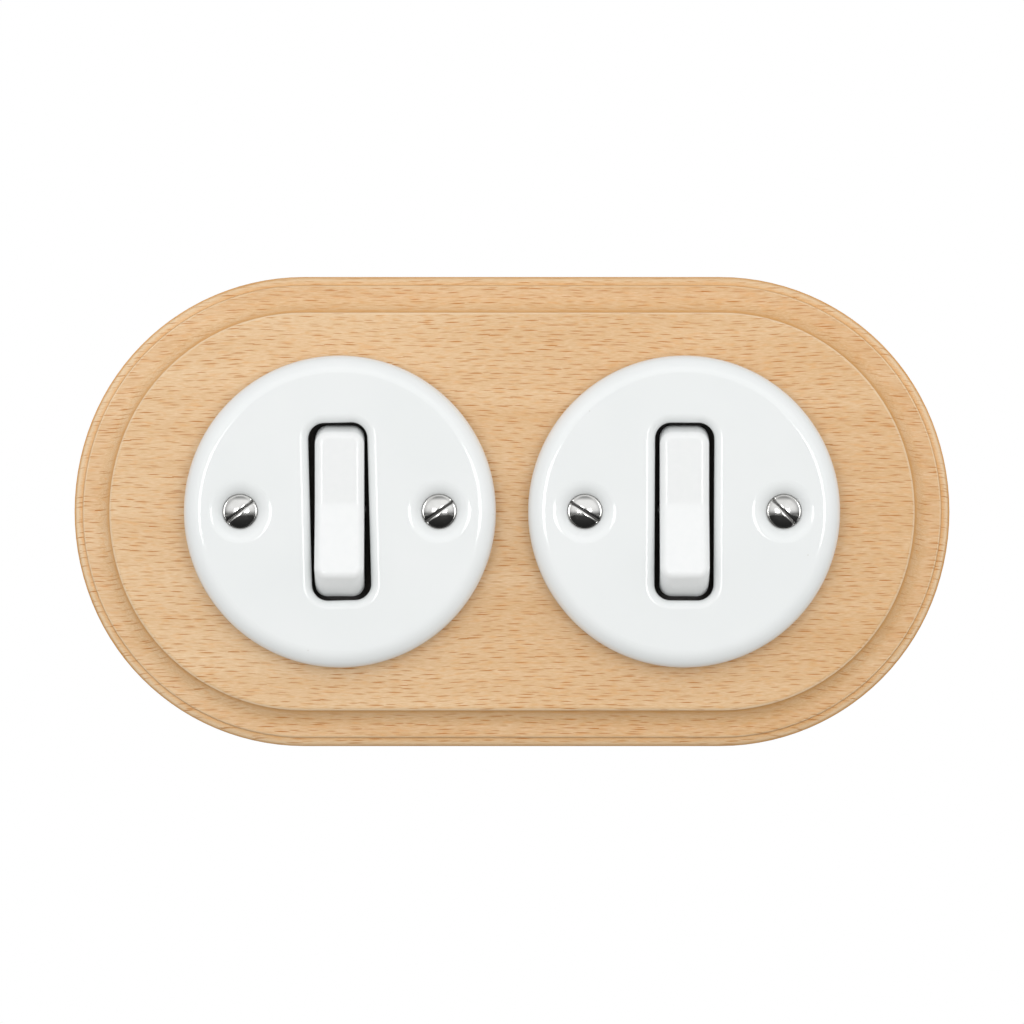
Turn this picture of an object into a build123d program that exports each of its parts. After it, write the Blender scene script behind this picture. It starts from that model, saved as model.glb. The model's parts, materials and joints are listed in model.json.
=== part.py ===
from build123d import *
from math import acos, asin, atan2, cos, degrees, radians, sin, sqrt
import os

# Two-gang rocker light switch: two porcelain covers with narrow rockers on one moulded beech frame,
# each over its own changeover mechanism on a steel bracket for a flush wall box.
# Millimetres. Pieces are drawn lying on their back: x to the right, y up the wall, z out of the wall,
# with z = 0 on the wall. At the end they are stood up, so y becomes +Z and z becomes -Y.

# Wooden frame: an oval plate with a moulded edge round a flat raised panel
frame_width = 182.0
frame_height = 97.6
frame_thickness = 12.0
end_arc_ease = 2.2  # the end arc's radius is larger than half the height by this
shoulder_drop = 1.3  # the shoulder arcs' radius is smaller than half the height by this
edge_round = 1.7
step_run = 0.35
step_rise = 0.9
step_arris = 0.4
cove_flat = 2.15  # level run from the step to the cove
cove_radius = 3.4
panel_lip = 0.3  # upright between the cove and the panel's arris
panel_arris = 0.8
back_arris = 0.5
pocket_depth = 4.5  # recess in the back for the brackets
pocket_gap = 0.5

# The two gangs, at the pitch of joined wall boxes
gang_pitch = 71.0

# Porcelain cover
cover_gap = 6.6  # between the two covers
cover_height = 8.0
cover_face = 5.0  # thickness of the front
cover_rim = 4.2  # thickness of the round wall
cover_roll = 3.6  # rounding of the front edge
cover_foot = 0.5
cover_inner_round = 1.2
hole_overlap = 0.5  # the cover's wall stands on wood by this much inside its own bore
opening_width = 12.2
opening_length = 36.6
opening_corner = 3.3
opening_round = 1.8
opening_lean = {"left": 1.5, "right": -0.3}  # degrees, from firing

# Cover screws, raised countersunk with a slot, and the threaded pillars that take them
screw_spacing = 41.0
screw_diameter = 3.5
screw_length = 18.0
screw_hole_gap = 0.45  # round the shank in the cover
head_diameter = 7.3
head_land = 0.25
head_dome = 0.8
head_edge = 0.3  # rounding between land and dome
head_sink = 1.45  # countersink's depth above the head
head_slot = 1.0
head_slot_depth = 1.3  # to the bottom of its round floor
seat_gap = 0.05
dish_round = 3.6  # soft lip of the countersink
slot_angles = {"left": (40.0, 37.0), "right": (-34.0, -48.0)}
pillar_diameter = 6.5
pillar_height = 6.8
pillar_spigot = 4.6
pillar_upset = 0.9
thread_gap = 0.05

# Rocker: a shallow V in side view, so that the pressed half lies level with the cover
rocker_tilt = 8.0  # degrees each way from the middle
rocker_proud = 0.6  # pressed half's height above the cover
rocker_side_gap = 1.0
rocker_end_gap = 0.55
rocker_bend = 6.0
rocker_edge = 1.6
rocker_corner = 2.6
rocker_wall = 1.6
rocker_roof = 2.4
rocker_web = 7.2
rocker_skirt = 2.8  # depth of the skirt behind the pivot
skirt_angle = 85.0  # where the end walls stop, from the front about the pivot
trunnion_diameter = 3.6
trunnion_reach = 2.8
trunnion_gap = 0.05
boss_diameter = 6.4
boss_reach = 10.5
spring_seat = 3.4  # roof over the plunger's bore

# Keeper: a thin plate under the cover that holds the rocker's trunnions in their open bearings
keeper_thickness = 0.5
keeper_cover_gap = 0.1
keeper_trunnion_gap = 0.1
keeper_side_gap = 0.3
keeper_end_gap = 0.4

# Sprung plunger in the rocker's boss
plunger_diameter = 3.8
plunger_gap = 0.08
plunger_reach = 15.5  # from the pivot to the centre of the tip
plunger_tip = 0.95
plunger_nose = 3.5
plunger_guide = 4.5
pilot_diameter = 2.2
pilot_length = 1.8
spring_wire = 0.4
spring_gap = 0.15  # between the coil and its bore
spring_turns = 7

# Seesaw contact, a bent strip that tips on two lugs
contact_thickness = 0.8
contact_width = 5.5
contact_rise = 10.0  # degrees that each arm rises from the middle
contact_tilt = 8.0  # degrees each way
contact_arm = 11.0
contact_overhang = 1.6
tip_gap = 0.12
lug_radius = 0.7
lug_reach = 1.4
lug_gap = 0.05
rivet_radius = 1.5
rivet_head = 0.7
rivet_shank = 0.7
rivet_upset = 0.4
rivet_gap = 0.03
contact_gap = 0.1  # left between the closed contacts

# Brass terminals with wire bores from the back and clamp screws from the sides
strip_thickness = 1.0
strip_width = 5.0
fork_cheek = 1.0
fork_gap = 0.2
fork_depth = 2.8
fork_rim = 0.4
fork_length = 3.4
terminal_width = 8.0
terminal_depth = 6.4
terminal_gap = 0.1
wire_bore = 3.0
wire_bore_depth = 8.0
clamp_inset = 4.0
clamp_diameter = 3.0
clamp_head_diameter = 4.8
clamp_head = 1.5
clamp_lift = 0.3
clamp_slot = 0.7
clamp_access = 5.6

# Moulded base, its back plate, and the steel bracket between base and wall
base_depth = 18.0
base_wall = 2.0
base_corner = 5.0
base_side_gap = 0.25
neck_cheek = 3.3
neck_end_wall = 1.9
neck_corner = 2.0
pocket_side_gap = 0.5
pocket_end_gap = 0.55
pocket_floor_gap = 0.8
throat_gap = 0.5
chamber_side_gap = 0.45
chamber_end_gap = 1.5
chamber_top = 3.0
plate_thickness = 2.0
plate_edge = 0.6
wire_mouth = 4.8  # the entry's width at the back, narrowing to the bore
bracket_gap = 1.0  # between the two brackets
bracket_height = 70.0
bracket_thickness = 1.2
bracket_corner = 14.0
bracket_edge = 0.3  # roll of the punched edge
window_gap = 0.4
box_screw_spacing = 60.0
box_slot_width = 4.2
box_slot_length = 7.0
fixing_rivet = 3.0
fixing_rivet_gap = 0.05
fixing_head = 5.2
fixing_head_height = 0.8

# Sizes that follow
half_height = frame_height / 2
end_radius = half_height + end_arc_ease
shoulder_radius = half_height - shoulder_drop
end_centre = frame_width / 2 - end_radius
straight_end = end_centre + sqrt(end_arc_ease * (end_arc_ease + 2 * shoulder_drop))
shoulder_angle = degrees(atan2(shoulder_drop, straight_end - end_centre))
cove_top = frame_thickness - panel_arris - panel_lip
edge_height = cove_top - cove_radius - step_rise - edge_round  # upright side at the wall

bracket_width = gang_pitch - bracket_gap
cover_radius = (gang_pitch - cover_gap) / 2
cover_bore = cover_radius - cover_rim
frame_hole = cover_bore - hole_overlap
cover_front = frame_thickness + cover_height
cover_back = cover_front - cover_face
neck_top = cover_back - keeper_cover_gap - keeper_thickness
pivot_height = neck_top - keeper_trunnion_gap - trunnion_diameter / 2
pivot_depth = cover_front - pivot_height

rocker_width = opening_width - 2 * rocker_side_gap
rocker_face = pivot_depth + rocker_proud
rocker_radius = sqrt((opening_length / 2 - rocker_end_gap) ** 2 + (cover_back - pivot_height) ** 2)
plunger_bore = plunger_diameter / 2 + plunger_gap
bore_top = rocker_face - spring_seat
spring_radius = plunger_bore - spring_gap - spring_wire / 2
plunger_back = plunger_guide - boss_reach

contact_bend = plunger_tip + tip_gap
bend_centre = contact_thickness / 2 + contact_bend
contact_height = pivot_height - plunger_reach - bend_centre

pillar_at = screw_spacing / 2
base_half_width = pillar_at - pillar_diameter / 2 - base_side_gap
chamber_half_length = contact_arm + contact_overhang + chamber_end_gap
chamber_half_width = contact_width / 2 + lug_reach + chamber_side_gap
terminal_reach = chamber_half_length + terminal_depth
neck_half_width = rocker_width / 2 + pocket_side_gap + neck_cheek
neck_half_length = rocker_radius + pocket_end_gap + neck_end_wall
base_half_height = max(terminal_reach + base_wall, neck_half_length)
common_reach = base_half_width - base_wall
plate_back = -base_depth - plate_thickness
rivet_x = base_half_width - base_corner
rivet_y = base_half_height - base_corner


def prism(sketch, low, high):
    return Pos(0, 0, low) * extrude(sketch, high - low)


def rod(radius, low, high, x=0.0, y=0.0):
    return Pos(x, y, low) * Cylinder(radius, high - low, align=(Align.CENTER, Align.CENTER, Align.MIN))


def block(x0, x1, y0, y1, z0, z1):
    centre = Pos((x0 + x1) / 2, (y0 + y1) / 2, (z0 + z1) / 2)
    return centre * Box(x1 - x0, y1 - y0, z1 - z0)


def turned(*edges):
    """A solid of revolution about z from edges drawn as (radius, z)."""
    return revolve(Plane.XZ * make_face(Curve() + list(edges)), Axis.Z)


def along_x(shape):
    """Turns a piece that was drawn along z so that it points along x."""
    return Rot(Y=90) * shape


def dome(radius, base, height):
    """A shallow dome's outline as an arc from its rim to its top, drawn as (radius, z)."""
    sphere = (radius**2 + height**2) / (2 * height)
    half_arc = asin(radius / sphere) / 2
    middle = (sphere * sin(half_arc), base + height - sphere * (1 - cos(half_arc)))
    return ThreePointArc((radius, base), middle, (0, base + height))


def circles(edges, radius):
    """The round edges of this radius."""
    return edges.filter_by(GeomType.CIRCLE).filter_by(lambda edge: abs(edge.radius - radius) < 1e-6)


def at_each(places, shape):
    return [Pos(x, y, 0) * shape for x, y in places]


def group(shapes):
    return Compound(list(shapes))


# Wooden frame


def frame_outline():
    quarter = 90 - shoulder_angle
    edges = [Line((0, half_height), (straight_end, half_height))]
    edges.append(CenterArc((straight_end, shoulder_drop), shoulder_radius, 90, -quarter))
    edges.append(CenterArc((end_centre, 0), end_radius, shoulder_angle, -2 * shoulder_angle))
    edges.append(CenterArc((straight_end, -shoulder_drop), shoulder_radius, -shoulder_angle, -quarter))
    edges.append(Line((straight_end, -half_height), (-straight_end, -half_height)))
    edges.append(CenterArc((-straight_end, -shoulder_drop), shoulder_radius, -90, -quarter))
    edges.append(CenterArc((-end_centre, 0), end_radius, 180 + shoulder_angle, -2 * shoulder_angle))
    edges.append(CenterArc((-straight_end, shoulder_drop), shoulder_radius, 180 - shoulder_angle, -quarter))
    edges.append(Line((-straight_end, half_height), (0, half_height)))
    return Wire(edges)


def moulding_cutter():
    """What the moulding takes off the slab's edge, drawn as (distance in from the edge, height)."""
    spare = 2.0
    round_top = (edge_round, edge_height + edge_round)
    round_middle = (edge_round * (1 - cos(radians(45))), edge_height + edge_round * sin(radians(45)))
    step_top = (edge_round + step_run, round_top[1] + step_rise)
    cove_start = (step_top[0] + cove_flat, step_top[1])
    cove_end = (cove_start[0] + cove_radius, cove_top)
    lip_top = (cove_end[0], frame_thickness - panel_arris)
    arris_end = (cove_end[0] + panel_arris, frame_thickness)
    arris_middle = (
        arris_end[0] - panel_arris * sin(radians(45)),
        lip_top[1] + panel_arris * sin(radians(45)),
    )
    edges = [Line((-spare, edge_height), (0, edge_height))]
    edges.append(ThreePointArc((0, edge_height), round_middle, round_top))
    edges.append(Line(round_top, step_top))
    edges.append(Line(step_top, cove_start))
    edges.append(TangentArc(cove_start, cove_end, tangent=(1, 0)))
    edges.append(Line(cove_end, lip_top))
    edges.append(ThreePointArc(lip_top, arris_middle, arris_end))
    edges.append(Line(arris_end, (arris_end[0], frame_thickness + spare)))
    edges.append(Line((arris_end[0], frame_thickness + spare), (-spare, frame_thickness + spare)))
    edges.append(Line((-spare, frame_thickness + spare), (-spare, edge_height)))
    inward = Plane(origin=(0, half_height, 0), x_dir=(0, -1, 0), z_dir=(-1, 0, 0))
    profile = make_face(Curve() + edges)
    profile = fillet(profile.vertices().sort_by_distance(step_top)[0], step_arris)
    return sweep(inward * profile, path=frame_outline())


def wooden_frame():
    frame = extrude(make_face(frame_outline()), frame_thickness) - moulding_cutter()
    frame = chamfer(frame.faces().sort_by(Axis.Z)[0].edges(), back_arris)
    pocket = RectangleRounded(
        gang_pitch + bracket_width + 2 * pocket_gap,
        bracket_height + 2 * pocket_gap,
        bracket_corner + pocket_gap,
    )
    frame -= extrude(pocket, pocket_depth)
    for x in (-gang_pitch / 2, gang_pitch / 2):
        frame -= rod(frame_hole, 0, frame_thickness, x)
    return frame


# Porcelain cover and its screws


def cover(lean):
    roll_start = cover_radius - cover_roll
    bore_end = cover_height - cover_face
    roll_middle = (
        roll_start + cover_roll * sin(radians(45)),
        cover_height - cover_roll * (1 - cos(radians(45))),
    )
    shell = turned(
        Line((0, bore_end), (0, cover_height)),
        Line((0, cover_height), (roll_start, cover_height)),
        ThreePointArc((roll_start, cover_height), roll_middle, (cover_radius, cover_height - cover_roll)),
        Line((cover_radius, cover_height - cover_roll), (cover_radius, cover_foot)),
        Line((cover_radius, cover_foot), (cover_radius - cover_foot, 0)),
        Line((cover_radius - cover_foot, 0), (cover_bore, 0)),
        Line((cover_bore, 0), (cover_bore, bore_end - cover_inner_round)),
        Line((cover_bore, bore_end - cover_inner_round), (cover_bore - cover_inner_round, bore_end)),
        Line((cover_bore - cover_inner_round, bore_end), (0, bore_end)),
    )
    opening = Rot(Z=lean) * RectangleRounded(opening_width, opening_length, opening_corner)
    shell -= extrude(opening, cover_height)
    front = shell.faces().filter_by(Plane.XY).sort_by(Axis.Z)[-1]
    shell = fillet(front.inner_wires()[0].edges(), opening_round)
    sink_radius = head_diameter / 2 + head_sink
    hole_radius = screw_diameter / 2 + screw_hole_gap
    sink = turned(
        Line((0, cover_height), (sink_radius, cover_height)),
        Line((sink_radius, cover_height), (hole_radius, cover_height - sink_radius + hole_radius)),
        Line((hole_radius, cover_height - sink_radius + hole_radius), (hole_radius, 0)),
        Line((hole_radius, 0), (0, 0)),
        Line((0, 0), (0, cover_height)),
    )
    for x in (-pillar_at, pillar_at):
        shell -= Pos(x, 0, 0) * sink
    front = shell.faces().filter_by(Plane.XY).sort_by(Axis.Z)[-1]
    return Pos(0, 0, frame_thickness) * fillet(circles(front.edges(), sink_radius), dish_round)


def cover_screws(angles):
    head_radius = head_diameter / 2
    head_top = head_land + head_dome
    shank = screw_diameter / 2
    cone_end = shank - head_radius
    tip_chamfer = shank / 3
    screw = turned(
        Line((0, -screw_length), (shank - tip_chamfer, -screw_length)),
        Line((shank - tip_chamfer, -screw_length), (shank, tip_chamfer - screw_length)),
        Line((shank, tip_chamfer - screw_length), (shank, cone_end)),
        Line((shank, cone_end), (head_radius, 0)),
        Line((head_radius, 0), (head_radius, head_land)),
        dome(head_radius, head_land, head_dome),
        Line((0, head_top), (0, -screw_length)),
    )
    screw = fillet(circles(screw.edges(), head_radius).sort_by(Axis.Z)[-1], head_edge)
    slot_half = head_slot / 2
    slot_centre = head_top - head_slot_depth + slot_half
    screw -= block(-head_radius, head_radius, -slot_half, slot_half, slot_centre, head_top)
    screw -= Pos(0, 0, slot_centre) * along_x(rod(slot_half, -head_radius, head_radius))
    seat = cover_front - head_sink + seat_gap
    return group(
        Pos(x, 0, seat) * Rot(Z=angle) * screw for x, angle in zip((-pillar_at, pillar_at), angles)
    )


def cover_pillars():
    thread = screw_diameter / 2 + thread_gap
    pillar = rod(pillar_diameter / 2, bracket_thickness, bracket_thickness + pillar_height)
    pillar += rod(pillar_spigot / 2, -pillar_upset, bracket_thickness)
    pillar -= rod(thread, -pillar_upset, bracket_thickness + pillar_height)
    return group(at_each([(-pillar_at, 0), (pillar_at, 0)], pillar))


# Rocker, plunger and spring, drawn about the pivot with the rocker level


def rocker_side(face, radius, skirt):
    """The rocker's side view as (y, z): a V front, arcs about the pivot at the ends, a tapered skirt."""
    corner_angle = acos(face / radius) - radians(rocker_tilt)
    corner = (radius * sin(corner_angle), radius * cos(corner_angle))
    end_angle = radians(skirt_angle)
    end = (radius * sin(end_angle), radius * cos(end_angle))
    middle_angle = (corner_angle + end_angle) / 2
    middle = (radius * sin(middle_angle), radius * cos(middle_angle))
    valley = (0, face / cos(radians(rocker_tilt)))
    foot = rocker_web / 2 + trunnion_diameter / 2
    edges = []
    for side in (-1, 1):
        edges.append(Line(valley, (side * corner[0], corner[1])))
        edges.append(
            ThreePointArc(
                (side * corner[0], corner[1]),
                (side * middle[0], middle[1]),
                (side * end[0], end[1]),
            )
        )
        edges.append(Line((side * end[0], end[1]), (side * foot, -skirt)))
    edges.append(Line((-foot, -skirt), (foot, -skirt)))
    return make_face(Curve() + edges), valley


def rocker():
    half_width = rocker_width / 2
    side, valley = rocker_side(rocker_face, rocker_radius, rocker_skirt)
    bend = side.vertices().sort_by_distance(valley)[0]
    body = extrude(Plane.YZ * fillet(bend, rocker_bend), half_width, both=True)
    body = fillet(circles(body.edges(), rocker_radius), rocker_corner)
    front = body.faces().filter_by(lambda face: face.normal_at().Z > cos(radians(2 * rocker_tilt)))
    shared = [edge for face in front for edge in face.edges()]
    rim = [edge for edge in shared if sum(edge.is_same(other) for other in shared) == 1]
    body = fillet(rim, rocker_edge)
    hollow_side, _ = rocker_side(rocker_face - rocker_roof, rocker_radius - rocker_wall, rocker_radius)
    hollow = extrude(Plane.YZ * hollow_side, half_width - rocker_wall, both=True)
    web = block(-half_width, half_width, -rocker_web / 2, rocker_web / 2, -rocker_radius, rocker_radius)
    body -= hollow - web
    trunnion_end = half_width + trunnion_reach
    body += along_x(rod(trunnion_diameter / 2, -trunnion_end, trunnion_end))
    body += rod(boss_diameter / 2, -boss_reach, 0)
    return body - rod(plunger_bore, -boss_reach, bore_top)


def plunger():
    radius = plunger_diameter / 2
    pilot = pilot_diameter / 2
    nose_top = plunger_nose - plunger_reach
    tip_middle = (plunger_tip * cos(radians(45)), -plunger_reach - plunger_tip * sin(radians(45)))
    return turned(
        Line((0, plunger_back + pilot_length), (pilot, plunger_back + pilot_length)),
        Line((pilot, plunger_back + pilot_length), (pilot, plunger_back)),
        Line((pilot, plunger_back), (radius, plunger_back)),
        Line((radius, plunger_back), (radius, nose_top)),
        Line((radius, nose_top), (plunger_tip, -plunger_reach)),
        ThreePointArc((plunger_tip, -plunger_reach), tip_middle, (0, -plunger_reach - plunger_tip)),
        Line((0, -plunger_reach - plunger_tip), (0, plunger_back + pilot_length)),
    )


def plunger_spring():
    low = plunger_back + spring_wire / 2 + thread_gap
    high = bore_top - spring_wire / 2 - thread_gap
    path = Helix(pitch=(high - low) / spring_turns, height=high - low, radius=spring_radius)
    section = Plane(origin=path @ 0, z_dir=path % 0) * Circle(spring_wire / 2)
    return Pos(0, 0, low) * sweep(section, path=path, is_frenet=True)


# Seesaw contact, drawn about its tipping axis with the strip level


def arm_directions(side):
    """Along one arm and square to its front, as (y, z) vectors."""
    rise = radians(contact_rise)
    return Vector(side * cos(rise), sin(rise)), Vector(-side * sin(rise), cos(rise))


def on_arm(side, distance, depth):
    """A point of an arm: distance out from the bend, depth behind the arm's front."""
    out, front = arm_directions(side)
    return Vector(0, bend_centre) - front * (contact_bend + depth) + out * distance


def seesaw_contact():
    length = contact_arm + contact_overhang
    edges = []
    for side in (-1, 1):
        edges.append(Line(on_arm(side, 0, 0), on_arm(side, length, 0)))
        edges.append(Line(on_arm(side, length, 0), on_arm(side, length, contact_thickness)))
        edges.append(Line(on_arm(side, length, contact_thickness), on_arm(side, 0, contact_thickness)))
    for depth in (0, contact_thickness):
        bottom = (0, bend_centre - contact_bend - depth)
        edges.append(ThreePointArc(on_arm(-1, 0, depth), bottom, on_arm(1, 0, depth)))
    strip = extrude(Plane.YZ * make_face(Curve() + edges), contact_width / 2, both=True)
    inner = contact_width / 2
    for side in (-1, 1):
        ends = sorted((side * inner, side * (inner + lug_reach)))
        strip += along_x(rod(lug_radius, *ends))
        strip -= on_strip(side, rod(rivet_shank + rivet_gap, -contact_thickness, 0))
    return strip


def on_strip(side, shape):
    """Puts a piece drawn along z onto an arm, with z = 0 on the arm's front."""
    place = on_arm(side, contact_arm, 0)
    return Pos(0, place.X, place.Y) * Rot(X=side * contact_rise) * shape


def contact_rivet(thickness):
    """A rivet through a strip of this thickness, its contact face towards -z."""
    rivet = rod(rivet_radius, -thickness - rivet_head, -thickness)
    rivet += rod(rivet_shank, -thickness, 0)
    return rivet + rod((rivet_radius + rivet_shank) / 2, 0, rivet_upset)


def moving_contacts():
    return group(on_strip(side, contact_rivet(contact_thickness)) for side in (-1, 1))


def closed_contact():
    """Where the lower arm's contact face comes to rest, as (y, z) from the tipping axis."""
    face = on_arm(-1, contact_arm, contact_thickness + rivet_head)
    tilt = radians(contact_tilt)
    return face.X * cos(tilt) - face.Y * sin(tilt), face.X * sin(tilt) + face.Y * cos(tilt)


closed_y, closed_z = closed_contact()
face_slant = rivet_radius * sin(radians(abs(contact_rise - contact_tilt)))
fixed_at = -closed_y
fixed_face = contact_height + closed_z - face_slant - contact_gap
strip_front = fixed_face - rivet_head
fork_front = contact_height - fork_depth


# Terminals


def fixed_contacts():
    rivet = Pos(0, 0, strip_front - strip_thickness) * Rot(X=180) * contact_rivet(strip_thickness)
    return group(at_each([(0, fixed_at), (0, -fixed_at)], rivet))


def wire_hole(x, y):
    return rod(wire_bore / 2, -base_depth, wire_bore_depth - base_depth, x, y)


def outer_terminal():
    """The upper terminal; the lower one is the same piece turned half round."""
    reach = terminal_reach
    body = block(
        -terminal_width / 2, terminal_width / 2, chamber_half_length, reach, -base_depth, strip_front
    )
    body += block(
        -strip_width / 2,
        strip_width / 2,
        fixed_at - rivet_radius,
        chamber_half_length,
        strip_front - strip_thickness,
        strip_front,
    )
    body -= rod(rivet_shank + rivet_gap, strip_front - strip_thickness, strip_front, 0, fixed_at)
    middle = reach - terminal_depth / 2
    body -= wire_hole(0, middle)
    return body - clamp_at_top(rod(clamp_diameter / 2 + thread_gap, middle - reach, 0), reach)


def clamp_at_top(shape, reach):
    """Puts a piece drawn along z on the upper terminal's outer side, pointing up."""
    return Pos(0, reach, clamp_inset - base_depth) * Rot(X=-90) * shape


def clamp_at_side(shape):
    """Puts a piece drawn along z on the common terminal's outer side, pointing outwards."""
    return Pos(common_reach, 0, clamp_inset - base_depth) * Rot(Y=90) * shape


def common_terminal():
    inner = common_reach - terminal_depth
    cheek_inside = contact_width / 2 + fork_gap
    cheek_outside = cheek_inside + fork_cheek
    strip_back = fork_front - strip_thickness
    body = block(inner, common_reach, -terminal_width / 2, terminal_width / 2, -base_depth, fork_front)
    body += block(-cheek_outside, inner, -strip_width / 2, strip_width / 2, strip_back, fork_front)
    notch = lug_radius + lug_gap
    for side in (-1, 1):
        ends = sorted((side * cheek_inside, side * cheek_outside))
        cheek = block(*ends, -fork_length / 2, fork_length / 2, fork_front, contact_height + fork_rim)
        cheek -= Pos(0, 0, contact_height) * along_x(rod(notch, *ends))
        cheek -= block(*ends, -notch, notch, contact_height, contact_height + fork_rim)
        body += cheek
    middle = common_reach - terminal_depth / 2
    body -= wire_hole(middle, 0)
    return body - clamp_at_side(rod(clamp_diameter / 2 + thread_gap, middle - common_reach, 0))


def terminal_screws():
    wall = (terminal_depth - wire_bore) / 2
    head_top = clamp_lift + clamp_head
    screw = rod(clamp_diameter / 2, -wall, clamp_lift)
    screw += rod(clamp_head_diameter / 2, clamp_lift, head_top)
    head_radius = clamp_head_diameter / 2
    slot_floor = clamp_lift + clamp_head / 2
    screw -= block(-head_radius, head_radius, -clamp_slot / 2, clamp_slot / 2, slot_floor, head_top)
    upper = clamp_at_top(screw, terminal_reach)
    return group([upper, Rot(Z=180) * upper, clamp_at_side(screw)])


# Base, keeper, back plate, bracket and the rivets

rivet_places = [(x, y) for x in (-rivet_x, rivet_x) for y in (-rivet_y, rivet_y)]


def base_outline():
    return RectangleRounded(2 * base_half_width, 2 * base_half_height, base_corner)


def neck_outline():
    return RectangleRounded(2 * neck_half_width, 2 * neck_half_length, neck_corner)


def keeper():
    window = RectangleRounded(
        rocker_width + 2 * keeper_side_gap,
        2 * (rocker_radius + keeper_end_gap),
        neck_corner,
    )
    return prism(neck_outline() - window, neck_top, neck_top + keeper_thickness)


def base():
    body = prism(base_outline(), -base_depth, 0)
    body += prism(neck_outline(), 0, neck_top)
    pocket_half_width = rocker_width / 2 + pocket_side_gap
    pocket_half_length = rocker_radius + pocket_end_gap
    pocket_floor = pivot_height - rocker_skirt - rocker_web * sin(radians(rocker_tilt)) - pocket_floor_gap
    body -= block(
        -pocket_half_width,
        pocket_half_width,
        -pocket_half_length,
        pocket_half_length,
        pocket_floor,
        neck_top,
    )
    throat_half_width = boss_diameter / 2 + throat_gap
    throat_half_length = throat_half_width + boss_reach * sin(radians(rocker_tilt))
    body -= block(
        -throat_half_width,
        throat_half_width,
        -throat_half_length,
        throat_half_length,
        chamber_top,
        pocket_floor,
    )
    body -= block(
        -chamber_half_width,
        chamber_half_width,
        -chamber_half_length,
        chamber_half_length,
        -base_depth,
        chamber_top,
    )
    pocket_width = terminal_width / 2 + terminal_gap
    reach = terminal_reach + terminal_gap
    body -= block(-pocket_width, pocket_width, -reach, reach, -base_depth, strip_front + terminal_gap)
    reach = common_reach + terminal_gap
    body -= block(0, reach, -pocket_width, pocket_width, -base_depth, fork_front + terminal_gap)
    access = rod(clamp_access / 2, 0, base_half_height)
    body -= clamp_at_top(access, terminal_reach)
    body -= Rot(Z=180) * clamp_at_top(access, terminal_reach)
    body -= clamp_at_side(access)
    bearing = trunnion_diameter / 2 + trunnion_gap
    bearing_end = rocker_width / 2 + trunnion_reach + pocket_side_gap
    body -= Pos(0, 0, pivot_height) * along_x(rod(bearing, -bearing_end, bearing_end))
    body -= block(-bearing_end, bearing_end, -bearing, bearing, pivot_height, neck_top)
    for place in at_each(rivet_places, rod(fixing_rivet / 2 + fixing_rivet_gap, -base_depth, 0)):
        body -= place
    return body


def wire_entry():
    """A lead-in cone that narrows to the terminal's own bore."""
    bore = wire_bore / 2
    mouth = wire_mouth / 2
    cone_end = plate_back + mouth - bore
    return turned(
        Line((0, plate_back), (mouth, plate_back)),
        Line((mouth, plate_back), (bore, cone_end)),
        Line((bore, cone_end), (bore, -base_depth)),
        Line((bore, -base_depth), (0, -base_depth)),
        Line((0, -base_depth), (0, plate_back)),
    )


def back_plate():
    plate = prism(base_outline(), plate_back, -base_depth)
    plate = chamfer(plate.faces().sort_by(Axis.Z)[0].edges(), plate_edge)
    middle = terminal_reach - terminal_depth / 2
    entries = [(0, middle), (0, -middle), (common_reach - terminal_depth / 2, 0)]
    for place in at_each(entries, wire_entry()):
        plate -= place
    for place in at_each(rivet_places, rod(fixing_rivet / 2 + fixing_rivet_gap, plate_back, -base_depth)):
        plate -= place
    return plate


def bracket():
    plate = RectangleRounded(bracket_width, bracket_height, bracket_corner)
    plate -= RectangleRounded(
        2 * (neck_half_width + window_gap),
        2 * (neck_half_length + window_gap),
        neck_corner + window_gap,
    )
    slot = SlotOverall(box_slot_length, box_slot_width)
    for x in (-box_screw_spacing / 2, box_screw_spacing / 2):
        plate -= Pos(x, 0) * slot
    for x in (-pillar_at, pillar_at):
        plate -= Pos(x, 0) * Circle(pillar_spigot / 2 + thread_gap)
    for x, y in rivet_places:
        plate -= Pos(x, y) * Circle(fixing_rivet / 2 + fixing_rivet_gap)
    plate = extrude(plate, bracket_thickness)
    return fillet(plate.faces().sort_by(Axis.Z)[-1].outer_wire().edges(), bracket_edge)


def bracket_rivets():
    shank = fixing_rivet / 2
    head = fixing_head / 2
    front_top = bracket_thickness + fixing_head_height
    back_top = plate_back - fixing_head_height
    rivet = turned(
        dome(head, bracket_thickness, fixing_head_height),
        Line((head, bracket_thickness), (shank, bracket_thickness)),
        Line((shank, bracket_thickness), (shank, plate_back)),
        Line((shank, plate_back), (head, plate_back)),
        dome(head, plate_back, -fixing_head_height),
        Line((0, back_top), (0, front_top)),
    )
    return group(at_each(rivet_places, rivet))


# Assembly: the photograph's state, with the top of both rockers pressed in

os.makedirs("parts", exist_ok=True)
stand = Plane.XZ.location
in_rocker = Pos(0, 0, pivot_height) * Rot(X=-rocker_tilt)
on_fork = Pos(0, 0, contact_height) * Rot(X=contact_tilt)


def write(name, shape):
    export_step(stand * shape, f"parts/{name}.step")


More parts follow.
